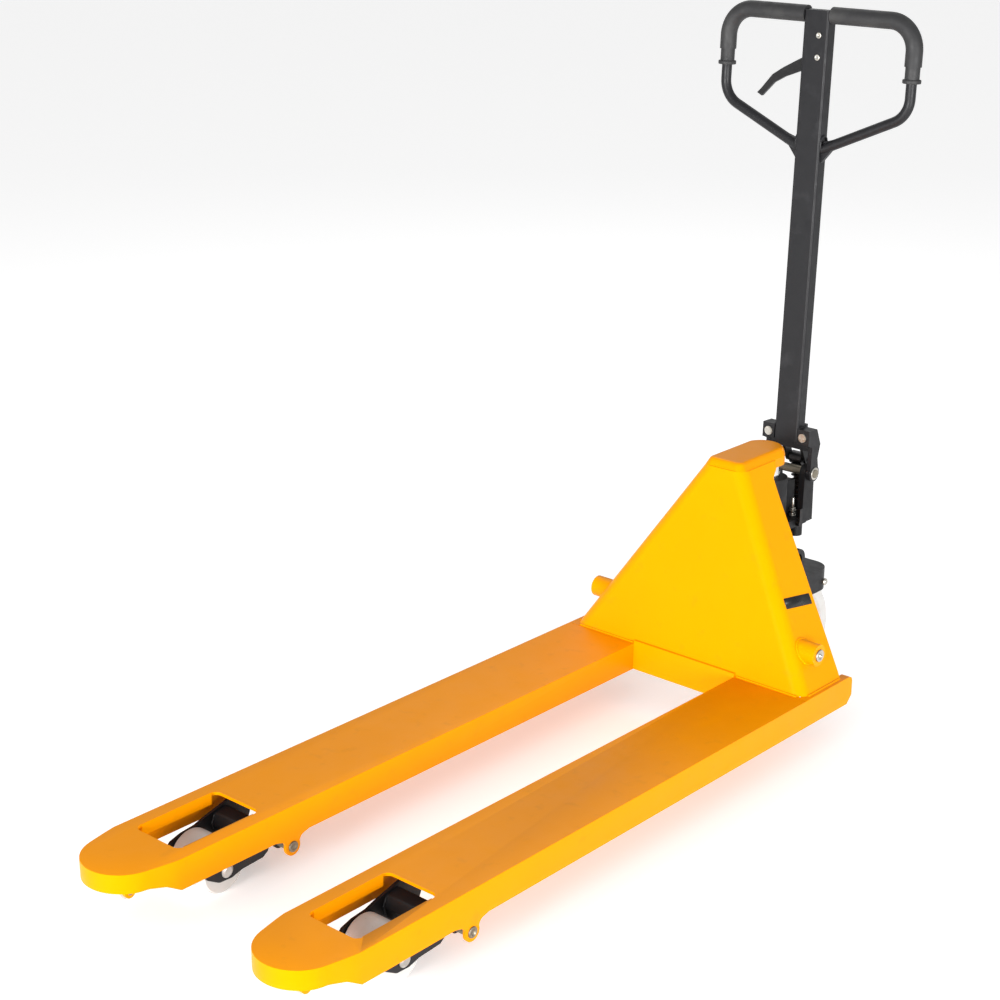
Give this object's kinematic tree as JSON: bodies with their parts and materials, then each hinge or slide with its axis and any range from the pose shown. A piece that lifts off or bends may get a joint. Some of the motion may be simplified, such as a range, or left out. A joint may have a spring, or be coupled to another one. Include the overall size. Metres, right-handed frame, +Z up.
{
  "type": "pallet jack",
  "caption": "Hand pallet jack with two long forks, a sloping chassis shell, a hydraulic pump on twin steering wheels and an upright loop handle.",
  "frame": {"origin": "bottom centre of the whole machine, on the floor", "axes": "+Z up, fork tips towards -Y, handle and steering wheels towards +Y, +X to the operator's left when facing the forks"},
  "size_m": [0.522, 1.5268, 1.2214],
  "materials": {
    "fork_paint": "gloss",
    "chassis_paint": "gloss",
    "black_paint": "satin",
    "steel": "satin",
    "chrome": "polished",
    "nylon": "satin",
    "rubber": "matte",
    "black_plastic": "satin"
  },
  "bodies": {
    "collar": {"swivel_collar": "black_paint"},
    "chassis": {"fork_left": "fork_paint", "fork_right": "fork_paint", "pivot_shafts": "steel", "entry_axles": "steel", "chassis_shell": "chassis_paint", "rocker_shaft": "steel", "crown_plate": "fork_paint", "lift_ram": "chrome"},
    "rocker": {"rocker_crank": "black_paint"},
    "steering": {"pump_body": "black_paint", "thrust_bearing": "steel", "wheel_guard": "black_paint", "guard_bolts": "steel", "steer_axle": "steel", "axle_circlips": "steel", "hinge_pin": "steel", "filler_plug": "steel"},
    "lowering_valve": {"lowering_lever": "steel"},
    "handle": {"handle_yoke": "black_paint", "yoke_bolts": "steel", "mast": "black_paint", "handle_loop": "black_paint", "grip_left": "rubber", "grip_right": "rubber", "lever_pin": "steel", "cam_pin": "steel"},
    "cam": {"cam_roller": "steel"},
    "plunger": {"pump_plunger": "chrome", "plunger_spring": "steel"},
    "lever": {"control_lever": "black_plastic"},
    "release": {"release_rod": "steel"},
    "bracket_left": {"wheel_bracket_left": "black_paint", "bracket_pin_left": "steel", "load_axle_left": "steel"},
    "rod_left": {"push_rod_left": "chassis_paint", "rod_pin_left": "steel"},
    "load_wheel_left": {"load_roller_left": "nylon", "load_bearings_left": "steel"},
    "entry_wheel_left": {"entry_roller_left": "nylon"},
    "exit_wheel_left": {"exit_roller_left": "nylon"},
    "steered_wheel_left": {"steer_wheel_left": "nylon", "steer_bearings_left": "steel"},
    "bracket_right": {"wheel_bracket_right": "black_paint", "bracket_pin_right": "steel", "load_axle_right": "steel"},
    "rod_right": {"push_rod_right": "chassis_paint", "rod_pin_right": "steel"},
    "load_wheel_right": {"load_roller_right": "nylon", "load_bearings_right": "steel"},
    "entry_wheel_right": {"entry_roller_right": "nylon"},
    "exit_wheel_right": {"exit_roller_right": "nylon"},
    "steered_wheel_right": {"steer_wheel_right": "nylon", "steer_bearings_right": "steel"}
  },
  "joints": [
    {"name": "lift", "type": "slide", "parent": "collar", "child": "chassis", "axis": [0, 0, 1], "range_m": [-0.03, 0.085]},
    {"name": "rocker_turn", "type": "hinge", "parent": "chassis", "child": "rocker", "pos_m": [0, 0.4575, 0.175], "axis": [1, 0, 0], "range_deg": [-24.4, 8.7]},
    {"name": "steer", "type": "hinge", "parent": "collar", "child": "steering", "pos_m": [0, 0.6475, 0.222], "axis": [0, 0, 1], "range_deg": [-90, 90]},
    {"name": "handle_tilt", "type": "hinge", "parent": "steering", "child": "handle", "pos_m": [0, 0.7145, 0.395], "axis": [1, 0, 0], "range_deg": [-75, 0]},
    {"name": "cam_spin", "type": "hinge", "parent": "handle", "child": "cam", "pos_m": [0, 0.73591, 0.40975], "axis": [1, 0, 0], "continuous": true},
    {"name": "pump_stroke", "type": "slide", "parent": "steering", "child": "plunger", "axis": [0, 0, 1], "range_m": [-0.0325, 0], "deforming": ["plunger_spring"]},
    {"name": "lever_turn", "type": "hinge", "parent": "handle", "child": "lever", "pos_m": [0.008, 0.72971, 1.13499], "axis": [0, 0.9992, -0.0401], "range_deg": [-8, 8], "stiffness_Nm_per_rad": 0.6},
    {"name": "release_pull", "type": "slide", "parent": "handle", "child": "release", "axis": [0, 0.0401, 0.9992], "range_m": [-0.0025, 0.0025]},
    {"name": "lowering_turn", "type": "hinge", "parent": "steering", "child": "lowering_valve", "pos_m": [0.04, 0.6875, 0.3045], "axis": [1, 0, 0], "range_deg": [-20, 0], "stiffness_Nm_per_rad": 0.5},
    {"name": "bracket_turn_left", "type": "hinge", "parent": "chassis", "child": "bracket_left", "pos_m": [-0.185, -0.4395, 0.047], "axis": [1, 0, 0], "range_deg": [-18.8, 52.9]},
    {"name": "rod_turn_left", "type": "hinge", "parent": "bracket_left", "child": "rod_left", "pos_m": [-0.185, -0.4253, 0.0876], "axis": [1, 0, 0], "range_deg": [-52.9, 18.8]},
    {"name": "load_spin_left", "type": "hinge", "parent": "bracket_left", "child": "load_wheel_left", "pos_m": [-0.185, -0.5475, 0.04], "axis": [1, 0, 0], "continuous": true},
    {"name": "entry_spin_left", "type": "hinge", "parent": "chassis", "child": "entry_wheel_left", "pos_m": [-0.185, -0.7145, 0.069], "axis": [1, 0, 0], "continuous": true},
    {"name": "exit_spin_left", "type": "hinge", "parent": "chassis", "child": "exit_wheel_left", "pos_m": [-0.185, -0.4395, 0.047], "axis": [1, 0, 0], "continuous": true},
    {"name": "steer_spin_left", "type": "hinge", "parent": "steering", "child": "steered_wheel_left", "pos_m": [-0.04, 0.6635, 0.1], "axis": [1, 0, 0], "continuous": true},
    {"name": "bracket_turn_right", "type": "hinge", "parent": "chassis", "child": "bracket_right", "pos_m": [0.185, -0.4395, 0.047], "axis": [1, 0, 0], "range_deg": [-18.8, 52.9]},
    {"name": "rod_turn_right", "type": "hinge", "parent": "bracket_right", "child": "rod_right", "pos_m": [0.185, -0.4253, 0.0876], "axis": [1, 0, 0], "range_deg": [-52.9, 18.8]},
    {"name": "load_spin_right", "type": "hinge", "parent": "bracket_right", "child": "load_wheel_right", "pos_m": [0.185, -0.5475, 0.04], "axis": [1, 0, 0], "continuous": true},
    {"name": "entry_spin_right", "type": "hinge", "parent": "chassis", "child": "entry_wheel_right", "pos_m": [0.185, -0.7145, 0.069], "axis": [1, 0, 0], "continuous": true},
    {"name": "exit_spin_right", "type": "hinge", "parent": "chassis", "child": "exit_wheel_right", "pos_m": [0.185, -0.4395, 0.047], "axis": [1, 0, 0], "continuous": true},
    {"name": "steer_spin_right", "type": "hinge", "parent": "steering", "child": "steered_wheel_right", "pos_m": [0.04, 0.6635, 0.1], "axis": [1, 0, 0], "continuous": true}
  ],
  "couplings": [
    {"joint": "rocker_turn", "follows": "lift", "rad_per_m": -4.974},
    {"joint": "pump_stroke", "follows": "handle_tilt", "m_per_rad": 0.0246},
    {"joint": "release_pull", "follows": "lever_turn", "m_per_rad": 0.016},
    {"joint": "bracket_turn_left", "follows": "lift", "rad_per_m": 10.821},
    {"joint": "rod_turn_left", "follows": "lift", "rad_per_m": -10.821},
    {"joint": "bracket_turn_right", "follows": "lift", "rad_per_m": 10.821},
    {"joint": "rod_turn_right", "follows": "lift", "rad_per_m": -10.821}
  ]
}
